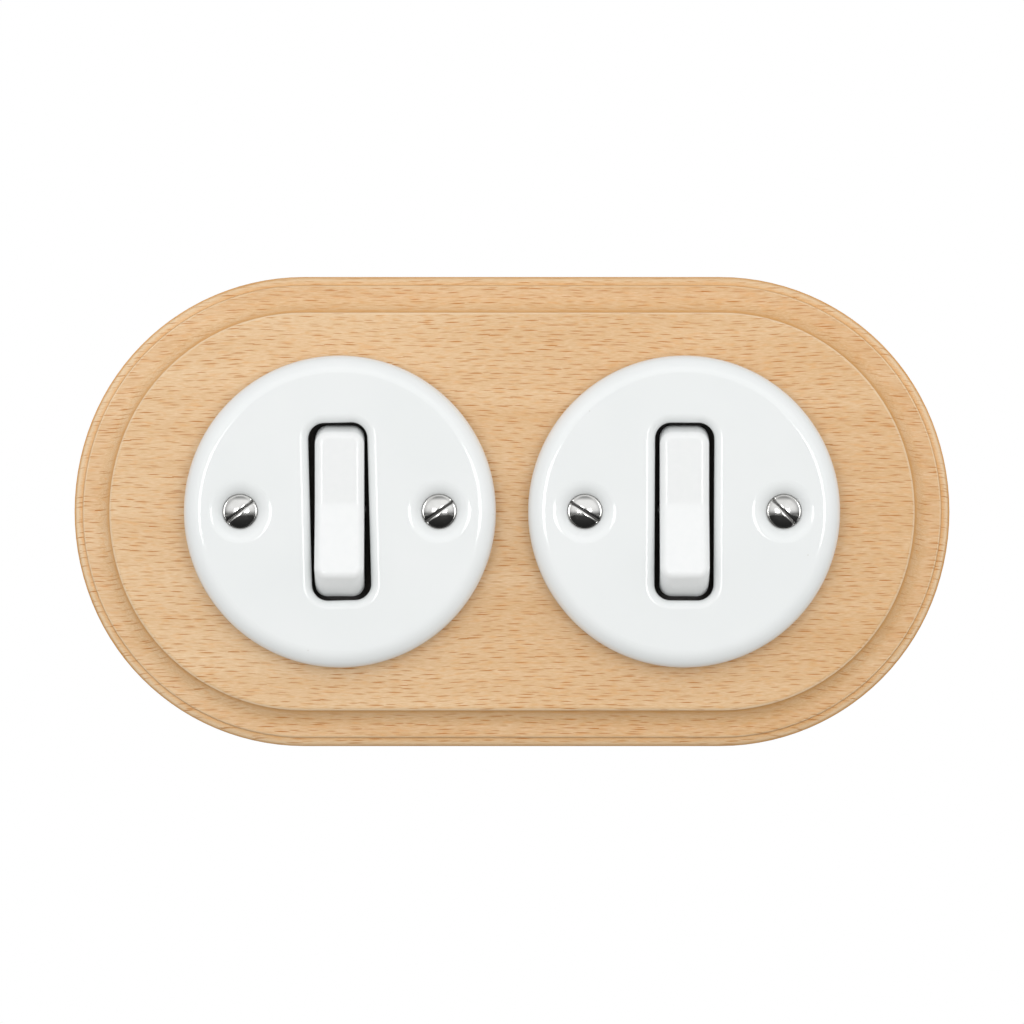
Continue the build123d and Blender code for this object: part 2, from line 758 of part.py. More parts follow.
write("wooden_frame", wooden_frame())
for hand, side in (("left", -1), ("right", 1)):
    gang = Pos(side * gang_pitch / 2, 0, 0)
    write(f"porcelain_cover_{hand}", gang * cover(opening_lean[hand]))
    write(f"cover_screws_{hand}", gang * cover_screws(slot_angles[hand]))
    write(f"cover_pillars_{hand}", gang * cover_pillars())
    write(f"rocker_{hand}", gang * in_rocker * rocker())
    write(f"plunger_{hand}", gang * in_rocker * plunger())
    write(f"plunger_spring_{hand}", gang * in_rocker * plunger_spring())
    write(f"seesaw_contact_{hand}", gang * on_fork * seesaw_contact())
    write(f"moving_contacts_{hand}", gang * on_fork * moving_contacts())
    write(f"fixed_contacts_{hand}", gang * fixed_contacts())
    write(f"common_terminal_{hand}", gang * common_terminal())
    write(f"upper_terminal_{hand}", gang * outer_terminal())
    write(f"lower_terminal_{hand}", gang * Rot(Z=180) * outer_terminal())
    write(f"terminal_screws_{hand}", gang * terminal_screws())
    write(f"rocker_keeper_{hand}", gang * keeper())
    write(f"base_{hand}", gang * base())
    write(f"back_plate_{hand}", gang * back_plate())
    write(f"bracket_{hand}", gang * bracket())
    write(f"bracket_rivets_{hand}", gang * bracket_rivets())
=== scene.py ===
import json
import math

import bmesh
import bpy
from mathutils import Matrix, Vector


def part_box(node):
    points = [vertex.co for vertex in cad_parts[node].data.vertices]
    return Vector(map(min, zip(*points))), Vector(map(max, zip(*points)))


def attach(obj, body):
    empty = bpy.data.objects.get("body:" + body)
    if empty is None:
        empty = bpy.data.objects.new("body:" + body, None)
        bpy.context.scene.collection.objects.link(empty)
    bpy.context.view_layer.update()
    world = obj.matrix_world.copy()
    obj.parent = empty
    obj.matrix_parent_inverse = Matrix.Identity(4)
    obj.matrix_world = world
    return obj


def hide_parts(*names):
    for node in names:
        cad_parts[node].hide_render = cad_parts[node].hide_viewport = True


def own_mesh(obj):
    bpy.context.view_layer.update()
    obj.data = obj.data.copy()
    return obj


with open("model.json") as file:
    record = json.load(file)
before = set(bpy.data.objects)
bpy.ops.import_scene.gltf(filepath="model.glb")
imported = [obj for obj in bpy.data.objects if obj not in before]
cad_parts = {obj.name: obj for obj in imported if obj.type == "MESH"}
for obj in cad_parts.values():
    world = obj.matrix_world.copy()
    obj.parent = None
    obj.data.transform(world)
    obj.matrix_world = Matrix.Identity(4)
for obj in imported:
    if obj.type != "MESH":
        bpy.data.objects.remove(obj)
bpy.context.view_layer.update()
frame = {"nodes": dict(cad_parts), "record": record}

scene = bpy.context.scene
scene.view_settings.view_transform = "Standard"
nodes = frame["nodes"]
millimetre = 0.001  # the scene is in metres
print("frame loaded:", len(nodes), "nodes")


# Small helpers

def hexColour(code):
    channels = [int(code[i:i + 2], 16) / 255 for i in (1, 3, 5)]
    linear = [c / 12.92 if c <= 0.04045 else ((c + 0.055) / 1.055) ** 2.4 for c in channels]
    return (*linear, 1.0)


def repeats(size):
    return 1 / (size * millimetre)  # how often a pattern of that many millimetres comes in a metre


# Sockets go by name, or by number where a node has several of one name: a Mix node's share is 0, its
# colours are 6 and 7 and their mixture 2, and its plain values are 2 and 3 and their mixture 0.

def addNode(tree, kind, sockets, **settings):
    node = tree.nodes.new(kind)
    for name, value in settings.items():
        setattr(node, name, value)
    for name, value in sockets.items():
        if isinstance(value, bpy.types.NodeSocket):
            tree.links.new(value, node.inputs[name])
        else:
            node.inputs[name].default_value = value
    return node


def setStops(ramp, stops):
    elements = ramp.color_ramp.elements
    elements.remove(elements[0])  # a new ramp has two
    first, last = stops[0][0], stops[-1][0]
    for i, (place, colour) in enumerate(stops):
        position = (place - first) / (last - first)
        element = elements.new(position) if i else elements[0]
        element.position = position
        element.color = colour


def newMaterial(name):
    material = bpy.data.materials.new(name)
    material.use_nodes = True
    tree = material.node_tree
    return material, tree, tree.nodes["Principled BSDF"]


def roughen(tree, shader, look, height, gloss):  # fine relief, and gloss that varies a little
    bump = addNode(tree, "ShaderNodeBump", {
        "Strength": look["bumpShare"], "Distance": look["bumpDepth"] * millimetre, "Height": height})
    tree.links.new(bump.outputs[0], shader.inputs["Normal"])
    spread = look["glossSpread"]
    roughness = addNode(tree, "ShaderNodeMapRange", {
        "Value": gloss, "To Min": look["roughness"] - spread, "To Max": look["roughness"] + spread})
    tree.links.new(roughness.outputs[0], shader.inputs["Roughness"])


def addObject(name, shape, material):
    mesh = bpy.data.meshes.new(name)
    shape.to_mesh(mesh)
    shape.free()
    mesh.materials.append(material)
    added = bpy.data.objects.new(name, mesh)
    scene.collection.objects.link(added)
    return added


# Beech, planed, moulded and waxed: a warm tan board with its grain along X. The ends of the rays show as
# short brown dashes on the face, with fine fibres and faint growth bands between them. The arrises and the
# bead are painted paler, as painted highlights and partly as rubbing; the cove, the quirk and the outer side
# are painted darker orange, as painted shade and partly as wax and oil gathered there.

beechLook = {  # sizes in mm
    "pale": "#E4C69F",
    "tan": "#CEA26E",
    "fleck": "#B46C12",
    "blush": "#D89E5E",  # soft orange patches between the rays
    # painted shade, partly oil and wax: darker orange for the cove, the quirk and the outer side
    "oilAndPaintedShade": "#DE9A3C",
    # painted highlight, partly rubbing: paler colour for the arrises, the step and the bead
    "rubAndPaintedHighlight": "#EFD6B4",
    "swayLength": 42.0,  # the grain wanders up and down a little
    "swayHeight": 3.0,
    "fleckAcross": 4.4,  # between rays along the grain
    "fleckUp": 0.95,  # between rays across the grain
    "fleckScatter": 0.95,
    "fleckHalfLength": 2.7,
    "fleckHalfHeight": 0.175,
    "fleckSizes": (0.45, 1.05),  # the smallest and the largest, as shares of the full size
    "fleckCore": 0.2,  # share of a ray that shows its full colour
    "fleckStrengths": (0.40, 1.0),  # the faintest and the strongest
    "rayLean": 16.0,  # degrees that the rays lean out of square to the face
    "slant": {"from": 0.95, "to": 0.45, "share": 0.25},  # rays fade where the moulding cuts them slantwise
    "fibreLength": 1.8,
    "fibreHeight": 0.2,
    "blushLength": 3.2,
    "blushHeight": 0.7,
    "blushRange": (0.52, 0.75),  # of its noise, from none to the full share
    "blushShare": 0.55,
    "bandLength": 60.0,
    "bandHeight": 5.0,
    "bandShare": 0.6,  # weight of the bands, where the fibres have 1
    "toneRange": (0.46, 1.14),  # of bands and fibres together, from pale to tan
    "drift": (-0.06, 0.2),  # change of tone from the board's left end to its right
    "driftReach": 80.0,
    # painted shade and painted highlights by depth, partly wear and wax
    "paintedLightAndWear": [  # out from the wall, what shows there, how strongly
        (0.0, "oilAndPaintedShade", 0.1),
        (4.6, "oilAndPaintedShade", 0.2),
        (5.2, "oilAndPaintedShade", 0.85),
        (5.8, "oilAndPaintedShade", 0.75),
        (6.05, "rubAndPaintedHighlight", 0.2),
        (6.2, "rubAndPaintedHighlight", 0.6),
        (6.35, "rubAndPaintedHighlight", 0.55),
        (6.5, "rubAndPaintedHighlight", 0.2),
        (6.6, "oilAndPaintedShade", 0.3),
        (6.95, "oilAndPaintedShade", 0.3),
        (7.1, "rubAndPaintedHighlight", 0.3),
        (7.44, "rubAndPaintedHighlight", 0.7),
        (7.485, "rubAndPaintedHighlight", 0.0),
        (8.2, "rubAndPaintedHighlight", 0.05),
        (9.2, "oilAndPaintedShade", 0.25),
        (10.9, "oilAndPaintedShade", 0.7),
        (11.2, "rubAndPaintedHighlight", 0.2),
        (11.65, "rubAndPaintedHighlight", 0.95),
        (11.985, "rubAndPaintedHighlight", 0.0),
    ],
    "straightShare": 0.55,  # the painted shade and highlights show less along the straight edges
    "endGrain": (45.0, 80.0),  # from the middle, where the straight edges turn into the round ends
    "cove": (8.0, 9.0),  # out from the wall, where the cove begins to rise
    "rayRelief": -0.7,  # rays lie lower than the fibres, which have 1
    "bumpDepth": 0.04,
    "bumpShare": 0.35,
    "roughness": 0.42,
    "glossSpread": 0.06,
    "ior": 1.45,
}


def beechRays(tree, look, grain, surface):
    along, up = look["fleckAcross"], look["fleckUp"]
    rayTurn = math.radians(look["rayLean"] - 90)
    rayMap = addNode(tree, "ShaderNodeMapping", {
        "Vector": grain, "Rotation": (rayTurn, 0.0, 0.0),
        "Scale": (repeats(along), repeats(up), repeats(up))}).outputs[0]
    ray = addNode(tree, "ShaderNodeTexVoronoi", {
        "Vector": rayMap, "Scale": 1.0, "Randomness": look["fleckScatter"]}, voronoi_dimensions="2D").outputs
    offset = addNode(tree, "ShaderNodeVectorMath", {0: rayMap, 1: ray["Position"]}, operation="SUBTRACT")
    slender = (along / look["fleckHalfLength"], up / look["fleckHalfHeight"], 0.0)
    offset = addNode(tree, "ShaderNodeVectorMath", {
        0: offset.outputs[0], 1: slender}, operation="MULTIPLY")
    offset = addNode(tree, "ShaderNodeVectorMath", {0: offset.outputs[0]}, operation="LENGTH")
    chance = addNode(tree, "ShaderNodeSeparateColor", {"Color": ray["Color"]}).outputs
    smallest, largest = look["fleckSizes"]
    size = addNode(tree, "ShaderNodeMapRange", {
        "Value": chance["Green"], "To Min": smallest, "To Max": largest})
    faintest, strongest = look["fleckStrengths"]
    strength = addNode(tree, "ShaderNodeMapRange", {
        "Value": chance["Blue"], "To Min": faintest, "To Max": strongest})
    fleck = addNode(tree, "ShaderNodeMapRange", {
        "Value": offset.outputs["Value"], "From Min": size.outputs[0], "From Max": look["fleckCore"],
        "To Max": strength.outputs[0]}, interpolation_type="SMOOTHSTEP")
    facing = addNode(tree, "ShaderNodeSeparateXYZ", {"Vector": surface}).outputs["Y"]
    facing = addNode(tree, "ShaderNodeMath", {0: facing}, operation="ABSOLUTE")
    slant = look["slant"]
    flat = addNode(tree, "ShaderNodeMapRange", {
        "Value": facing.outputs[0], "From Min": slant["to"], "From Max": slant["from"],
        "To Min": slant["share"]})
    fleck = addNode(tree, "ShaderNodeMath", {
        0: fleck.outputs[0], 1: flat.outputs[0]}, operation="MULTIPLY")
    return fleck.outputs[0]


def beechStreaks(tree, look, grain):
    streaks = {}
    for name in ("fibre", "blush", "band"):
        up = repeats(look[name + "Height"])
        streakMap = addNode(tree, "ShaderNodeMapping", {
            "Vector": grain, "Scale": (repeats(look[name + "Length"]), up, up)})
        streaks[name] = addNode(tree, "ShaderNodeTexNoise", {
            "Vector": streakMap.outputs[0], "Scale": 1.0, "Detail": 2.0, "Roughness": 0.6}).outputs["Fac"]
    return streaks


def beechBoard(tree, look, streaks, spot):
    tone = addNode(tree, "ShaderNodeMath", {
        0: streaks["band"], 1: look["bandShare"], 2: streaks["fibre"]}, operation="MULTIPLY_ADD")
    palest, deepest = look["toneRange"]
    tone = addNode(tree, "ShaderNodeMapRange", {
        "Value": tone.outputs[0], "From Min": palest, "From Max": deepest})
    reach = look["driftReach"] * millimetre
    leftEnd, rightEnd = look["drift"]
    drift = addNode(tree, "ShaderNodeMapRange", {
        "Value": spot["X"], "From Min": -reach, "From Max": reach, "To Min": leftEnd, "To Max": rightEnd})
    tone = addNode(tree, "ShaderNodeMath", {0: tone.outputs[0], 1: drift.outputs[0]}, operation="ADD")
    board = addNode(tree, "ShaderNodeMix", {
        0: tone.outputs[0], 6: hexColour(look["pale"]), 7: hexColour(look["tan"])}, data_type="RGBA")
    none, full = look["blushRange"]
    blush = addNode(tree, "ShaderNodeMapRange", {
        "Value": streaks["blush"], "From Min": none, "From Max": full, "To Max": look["blushShare"]})
    board = addNode(tree, "ShaderNodeMix", {
        0: blush.outputs[0], 6: board.outputs[2], 7: hexColour(look["blush"])}, data_type="RGBA")
    return board.outputs[2]


def beechPaintedLightAndWear(tree, look, board, spot):  # painted shade and painted highlights, partly wear and wax, by how far each point stands out from the wall
    marks = look["paintedLightAndWear"]
    out = addNode(tree, "ShaderNodeMapRange", {
        "Value": spot["Y"], "From Min": -marks[0][0] * millimetre, "From Max": -marks[-1][0] * millimetre})
    ramp = addNode(tree, "ShaderNodeValToRGB", {"Fac": out.outputs[0]})
    setStops(ramp, [(place, (*hexColour(look[name])[:3], share)) for place, name, share in marks])
    across = addNode(tree, "ShaderNodeMath", {0: spot["X"]}, operation="ABSOLUTE")
    straight, ended = look["endGrain"]
    ends = addNode(tree, "ShaderNodeMapRange", {
        "Value": across.outputs[0], "From Min": straight * millimetre, "From Max": ended * millimetre,
        "To Min": look["straightShare"]})
    flat, rising = look["cove"]
    inCove = addNode(tree, "ShaderNodeMapRange", {  # the painted shade in the cove goes all round
        "Value": spot["Y"], "From Min": -flat * millimetre, "From Max": -rising * millimetre})
    ends = addNode(tree, "ShaderNodeMath", {0: ends.outputs[0], 1: inCove.outputs[0]}, operation="MAXIMUM")
    paintedShare = addNode(tree, "ShaderNodeMath", {
        0: ramp.outputs["Alpha"], 1: ends.outputs[0]}, operation="MULTIPLY")
    board = addNode(tree, "ShaderNodeMix", {
        0: paintedShare.outputs[0], 6: board, 7: ramp.outputs["Color"]}, data_type="RGBA")
    return board.outputs[2]


def beech(look):
    material, tree, shader = newMaterial("waxed beech")
    coordinates = addNode(tree, "ShaderNodeTexCoord", {}).outputs
    place = coordinates["Object"]
    spot = addNode(tree, "ShaderNodeSeparateXYZ", {"Vector": place}).outputs
    sway = addNode(tree, "ShaderNodeTexNoise", {
        "Vector": place, "Scale": repeats(look["swayLength"]), "Detail": 1.0})
    grain = addNode(tree, "ShaderNodeVectorMath", {
        0: sway.outputs["Color"], 1: (0.0, 0.0, look["swayHeight"] * millimetre), 2: place},
        operation="MULTIPLY_ADD").outputs[0]
    fleck = beechRays(tree, look, grain, coordinates["Normal"])
    streaks = beechStreaks(tree, look, grain)
    board = beechBoard(tree, look, streaks, spot)
    board = beechPaintedLightAndWear(tree, look, board, spot)
    colour = addNode(tree, "ShaderNodeMix", {
        0: fleck, 6: board, 7: hexColour(look["fleck"])}, data_type="RGBA")
    tree.links.new(colour.outputs[2], shader.inputs["Base Color"])
    relief = addNode(tree, "ShaderNodeMath", {
        0: fleck, 1: look["rayRelief"], 2: streaks["fibre"]}, operation="MULTIPLY_ADD")
    roughen(tree, shader, look, relief.outputs[0], streaks["fibre"])
    shader.inputs["IOR"].default_value = look["ior"]
    return material


# Porcelain, pressed, glazed and fired: cool white under a glassy glaze that lies in slow waves, with a
# rare speck.

porcelainLook = {  # sizes in mm
    "white": "#E9EBEB",
    "shade": "#E4E7E7",
    "speck": "#B9B4AA",
    "waveLength": 13.0,
    "waveHeight": 0.06,
    "speckSpacing": 9.0,
    "speckRadii": (0.010, 0.026),  # of its core and its edge, as shares of the spacing
    "speckShare": 0.3,
    "roughness": 0.05,
    "ior": 1.52,
}


def porcelain(look):
    material, tree, shader = newMaterial("glazed porcelain")
    place = addNode(tree, "ShaderNodeTexCoord", {}).outputs["Object"]
    wave = addNode(tree, "ShaderNodeTexNoise", {
        "Vector": place, "Scale": repeats(look["waveLength"]), "Detail": 1.0,
        "Roughness": 0.3}).outputs["Fac"]
    glaze = addNode(tree, "ShaderNodeMix", {
        0: wave, 6: hexColour(look["white"]), 7: hexColour(look["shade"])}, data_type="RGBA")
    speckCell = addNode(tree, "ShaderNodeTexVoronoi", {
        "Vector": place, "Scale": repeats(look["speckSpacing"]), "Randomness": 1.0})
    core, edge = look["speckRadii"]
    speck = addNode(tree, "ShaderNodeMapRange", {
        "Value": speckCell.outputs["Distance"], "From Min": core, "From Max": edge,
        "To Min": look["speckShare"], "To Max": 0.0}, interpolation_type="SMOOTHSTEP")
    colour = addNode(tree, "ShaderNodeMix", {
        0: speck.outputs[0], 6: glaze.outputs[2], 7: hexColour(look["speck"])}, data_type="RGBA")
    tree.links.new(colour.outputs[2], shader.inputs["Base Color"])
    bump = addNode(tree, "ShaderNodeBump", {
        "Strength": 1.0, "Distance": look["waveHeight"] * millimetre, "Height": wave})
    tree.links.new(bump.outputs[0], shader.inputs["Normal"])
    shader.inputs["Roughness"].default_value = look["roughness"]
    shader.inputs["IOR"].default_value = look["ior"]
    return material


# Urea moulding for the rockers: gloss white, a little brighter and softer in its gloss than the glaze. The
# deep parts near the wall are painted near black, as painted shade in the gap and partly as old grease.

rockerLook = {  # sizes in mm
    "white": "#EBECEC",
    "shade": "#E6E8E8",
    # painted shade in the gap, partly old grease: near black deep down
    "greaseAndPaintedShade": "#1C1A18",
    "greaseAndShadeDepths": (15.0, 14.4),  # out from the wall, where the painted dark starts and where it is black
    "moteSpacing": 1.6,
    "bumpDepth": 0.01,
    "bumpShare": 0.3,
    "roughness": 0.09,
    "glossSpread": 0.03,
    "ior": 1.52,
}


def rockerPlastic(look):
    material, tree, shader = newMaterial("moulded urea")
    place = addNode(tree, "ShaderNodeTexCoord", {}).outputs["Object"]
    cloud = addNode(tree, "ShaderNodeTexNoise", {
        "Vector": place, "Scale": repeats(look["moteSpacing"]), "Detail": 2.0}).outputs["Fac"]
    colour = addNode(tree, "ShaderNodeMix", {
        0: cloud, 6: hexColour(look["white"]), 7: hexColour(look["shade"])}, data_type="RGBA")
    depth = addNode(tree, "ShaderNodeSeparateXYZ", {"Vector": place}).outputs["Y"]
    lightest, blackest = look["greaseAndShadeDepths"]
    # painted shade: near black deep in the gap round the rocker, partly old grease
    greaseAndPaintedShade = addNode(tree, "ShaderNodeMapRange", {
        "Value": depth, "From Min": -lightest * millimetre, "From Max": -blackest * millimetre})
    colour = addNode(tree, "ShaderNodeMix", {
        0: greaseAndPaintedShade.outputs[0], 6: colour.outputs[2], 7: hexColour(look["greaseAndPaintedShade"])}, data_type="RGBA")
    tree.links.new(colour.outputs[2], shader.inputs["Base Color"])
    roughen(tree, shader, look, cloud, cloud)
    shader.inputs["IOR"].default_value = look["ior"]
    return material


# Metals: plated, drawn or stamped, each with its own tint and the marks of its making. The nickel screws
# are painted darker deep in their slots and low round their rims, as painted shade and partly as old polish.

metalLook = {  # sizes in mm, the painted shade and grime out from the wall
    "polished nickel": {
        "tint": "#E8E8E6", "worn": "#C4C3C0", "roughness": 0.12, "grit": 0.5, "bumpDepth": 0.002,
        # painted shade, partly old polish: darker deep in the slots and low round the rims
        "grimeAndPaintedShade": {"colour": "#6A6864", "share": 0.8, "from": 19.05, "to": 18.68}},
    "machined brass": {
        "tint": "#D2A95C", "worn": "#A67C3A", "roughness": 0.30, "grit": 0.25, "bumpDepth": 0.004},
    "contact silver": {
        "tint": "#DDDCD8", "worn": "#AAA69E", "roughness": 0.28, "grit": 0.3, "bumpDepth": 0.003},
    "spring wire": {
        "tint": "#8F9296", "worn": "#5D5F62", "roughness": 0.32, "grit": 0.3, "bumpDepth": 0.002},
    "zinc plate": {
        "tint": "#CACCCF", "worn": "#A6A9AD", "roughness": 0.36, "grit": 0.9, "bumpDepth": 0.004},
}
anyMetal = {
    "patchGrits": 9,  # a worn patch is that many times as large as the grit
    "wearRange": (0.45, 0.8),  # of the patches' noise, from none to the full share
    "wearShare": 0.6,
    "bumpShare": 0.5,
    "glossSpread": 0.07,
}


def metal(name, look):
    material, tree, shader = newMaterial(name)
    place = addNode(tree, "ShaderNodeTexCoord", {}).outputs["Object"]
    grain = addNode(tree, "ShaderNodeTexNoise", {
        "Vector": place, "Scale": repeats(look["grit"]), "Detail": 3.0, "Roughness": 0.6}).outputs["Fac"]
    patch = addNode(tree, "ShaderNodeTexNoise", {
        "Vector": place, "Scale": repeats(look["grit"] * look["patchGrits"]), "Detail": 2.0}).outputs["Fac"]
    none, full = look["wearRange"]
    wear = addNode(tree, "ShaderNodeMapRange", {
        "Value": patch, "From Min": none, "From Max": full, "To Max": look["wearShare"]})
    colour = addNode(tree, "ShaderNodeMix", {
        0: wear.outputs[0], 6: hexColour(look["tint"]), 7: hexColour(look["worn"])}, data_type="RGBA")
    grimeAndPaintedShade = look.get("grimeAndPaintedShade")
    if grimeAndPaintedShade:
        # painted shade deep in the slots and round the rims, partly old polish
        depth = addNode(tree, "ShaderNodeSeparateXYZ", {"Vector": place}).outputs["Y"]
        darkened = addNode(tree, "ShaderNodeMapRange", {
            "Value": depth, "From Min": -grimeAndPaintedShade["from"] * millimetre, "From Max": -grimeAndPaintedShade["to"] * millimetre,
            "To Max": grimeAndPaintedShade["share"]})
        colour = addNode(tree, "ShaderNodeMix", {
            0: darkened.outputs[0], 6: colour.outputs[2], 7: hexColour(grimeAndPaintedShade["colour"])}, data_type="RGBA")
    tree.links.new(colour.outputs[2], shader.inputs["Base Color"])
    roughen(tree, shader, look, grain, grain)
    shader.inputs["Metallic"].default_value = 1.0
    return material


# Phenolic: brown-black, with the flow of the powder showing faintly. The mouldings have a low gloss, and
# the keepers are dull punched sheet.

phenolicLook = {  # sizes in mm
    "moulded phenolic": {
        "black": "#1D1A18", "brown": "#30261F", "flowSize": 5.0, "roughness": 0.34, "specular": 0.5},
    "phenolic sheet": {
        "black": "#181614", "brown": "#221D19", "flowSize": 2.0, "roughness": 0.65, "specular": 0.15},
}
anyPhenolic = {"bumpDepth": 0.01, "bumpShare": 0.4, "glossSpread": 0.08}


def phenolic(name, look):
    material, tree, shader = newMaterial(name)
    place = addNode(tree, "ShaderNodeTexCoord", {}).outputs["Object"]
    flow = addNode(tree, "ShaderNodeTexNoise", {
        "Vector": place, "Scale": repeats(look["flowSize"]), "Detail": 5.0,
        "Distortion": 1.2}).outputs["Fac"]
    colour = addNode(tree, "ShaderNodeMix", {
        0: flow, 6: hexColour(look["black"]), 7: hexColour(look["brown"])}, data_type="RGBA")
    tree.links.new(colour.outputs[2], shader.inputs["Base Color"])
    roughen(tree, shader, look, flow, flow)
    shader.inputs["Specular IOR Level"].default_value = look["specular"]
    return material


metals = {name: metal(name, {**anyMetal, **look}) for name, look in metalLook.items()}
phenolics = {name: phenolic(name, {**anyPhenolic, **look}) for name, look in phenolicLook.items()}
finishes = {
    "beech": beech(beechLook),
    "porcelain": porcelain(porcelainLook),
    "rocker_plastic": rockerPlastic(rockerLook),
    "nickel": metals["polished nickel"],
    "brass": metals["machined brass"],
    "silver": metals["contact silver"],
    "spring_steel": metals["spring wire"],
    "zinc_steel": metals["zinc plate"],
    "phenolic": phenolics["moulded phenolic"],
}
for subpart in frame["record"]["subparts"]:
    finish = finishes[subpart["material_slot"]]
    if subpart["node"].startswith("rocker_keeper"):
        finish = phenolics["phenolic sheet"]
    for slot in nodes[subpart["node"]].material_slots:
        slot.material = finish
print("finishes given:", len(finishes))


# Screws and springs are smooth, apart from their sharp edges

smoothing = {"sharpAngle": 50.0}  # degrees past which an edge shades as sharp


def addPiece(name, shape, material):
    piece = addObject(name, shape, material)
    piece.data.shade_smooth()
    piece.data.set_sharp_from_angle(angle=math.radians(smoothing["sharpAngle"]))
    return piece


# Cover screws: raised countersunk, nickel plated. A rounded rim stands round the dome, and the driver has
# worn the slot's lips round, so that one lip catches the light and the other stays dark.

screwLook = {  # sizes in mm
    "headRadius": 3.65,
    "rimRadius": 0.35,
    "rimTurn": 100.0,  # degrees of the rim's rounding, down to the crease
    "rimRings": 6,
    "domeRadius": 3.22,
    "domeDrop": 0.70,
    "domeRings": 12,
    "headDepth": 1.05,  # from the dome's top to the widest point
    "shankRadius": 1.75,
    "slotHalf": 0.22,
    "slotDepth": 0.95,
    "wallWidth": 0.01,  # the slot's walls stand this little out of square
    "lip": 0.42,  # width of each rounded lip
    "lipDrop": 0.075,
    "lipLoops": (0.0, 0.2, 0.45, 0.7, 1.0),  # shares of the lip's width
    "steps": 96,  # round the screw
    "mergeGap": 0.0005,  # points nearer than this are one
    "cutGap": 0.0001,  # points nearer to a cut than this lie on it
    "slack": 0.001,  # leaves the widest point as it is
    "slotTurns": {"left": (40.0, 37.0), "right": (-34.0, -48.0)},  # degrees up to the right
}


def screwProfile(look, length):
    dome, drop = look["domeRadius"], look["domeDrop"]
    sphere = (dome ** 2 + drop ** 2) / (2 * drop)
    points = []
    for i in range(look["domeRings"] + 1):
        out = dome * i / look["domeRings"]
        points.append((out, sphere - math.sqrt(sphere ** 2 - out ** 2)))
    rim, head, depth = look["rimRadius"], look["headRadius"], look["headDepth"]
    for i in range(look["rimRings"] + 1):
        turn = math.radians(look["rimTurn"] * (1 - i / look["rimRings"]))
        points.append((head - rim + rim * math.cos(turn), depth - rim * math.sin(turn)))
    shank = look["shankRadius"]
    tip = shank / 3  # the chamfer at the end
    points.append((shank, depth + head - shank))  # the countersink has 90 degrees
    points.append((shank, length - tip))
    points.append((shank - tip, length))
    points.append((0.0, length))
    return points


def slottedScrew(look, length):
    screw = bmesh.new()
    line = [screw.verts.new((out, down, 0.0)) for out, down in screwProfile(look, length)]
    for first, second in zip(line, line[1:]):
        screw.edges.new((first, second))
    bmesh.ops.spin(
        screw, geom=screw.verts[:] + screw.edges[:], cent=(0, 0, 0), axis=(0, 1, 0),
        angle=math.tau, steps=look["steps"], use_merge=True)
    bmesh.ops.remove_doubles(screw, verts=screw.verts, dist=look["mergeGap"])
    half, lip, wall = look["slotHalf"], look["lip"], look["wallWidth"]
    loops = [half - wall] + [half + lip * share for share in look["lipLoops"]]
    for across in loops:
        for side in (-1, 1):
            bmesh.ops.bisect_plane(
                screw, geom=screw.verts[:] + screw.edges[:] + screw.faces[:], dist=look["cutGap"],
                plane_co=(0, 0, side * across), plane_no=(0, 0, 1))
    for vertex in screw.verts:  # the slot's floor and its rounded lips are pressed into the head
        across, down = abs(vertex.co.z), vertex.co.y
        if down >= look["headDepth"] - look["slack"] or across > half + lip:
            continue
        if across < half - wall / 2:
            vertex.co.y = max(down, look["slotDepth"])
        else:
            drop = look["lipDrop"] * ((half + lip - across) / lip) ** 2
            vertex.co.y = max(down, min(down + drop, look["slotDepth"]))
    bmesh.ops.recalc_face_normals(screw, faces=screw.faces)
    return screw


for hand, turns in screwLook["slotTurns"].items():
    node = "cover_screws_" + hand
    low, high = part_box(node)
    reach = screwLook["headRadius"] * millimetre
    both = bmesh.new()
    for across, turn in zip((low[0] + reach, high[0] - reach), turns):
        screw = slottedScrew(screwLook, (high[1] - low[1]) / millimetre)
        screw.transform(
            Matrix.Translation((across, low[1], 0)) @ Matrix.Rotation(-math.radians(turn), 4, "Y")
            @ Matrix.Scale(millimetre, 4))
        part = bpy.data.meshes.new("screw")
        screw.to_mesh(part)
        screw.free()
        both.from_mesh(part)
        bpy.data.meshes.remove(part)
    screws = addPiece("slotted_screws_" + hand, both, finishes["nickel"])
    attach(screws, "switch_frame")
    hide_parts(node)
print("cover screws made")


# Coil springs: drawn steel wire, as the CAD model has them, each one going with its rocker.

springLook = {"mergeGap": 0.002}  # mm between points that are one point
for hand in ("left", "right"):
    node = nodes["plunger_spring_" + hand]
    coil = bmesh.new()
    coil.from_mesh(node.data)
    bmesh.ops.remove_doubles(coil, verts=coil.verts, dist=springLook["mergeGap"] * millimetre)
    spring = addPiece("coil_spring_" + hand, coil, finishes["spring_steel"])
    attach(spring, "rocker_" + hand)
    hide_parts(node.name)
    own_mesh(spring)


# Studio: pale floor, white surround, two small bright panels beside the camera, and broad soft ones in
# front, at the sides, behind and, dimly, above. Polished surfaces show the small panels, and the surround
# fading towards a dark card below.

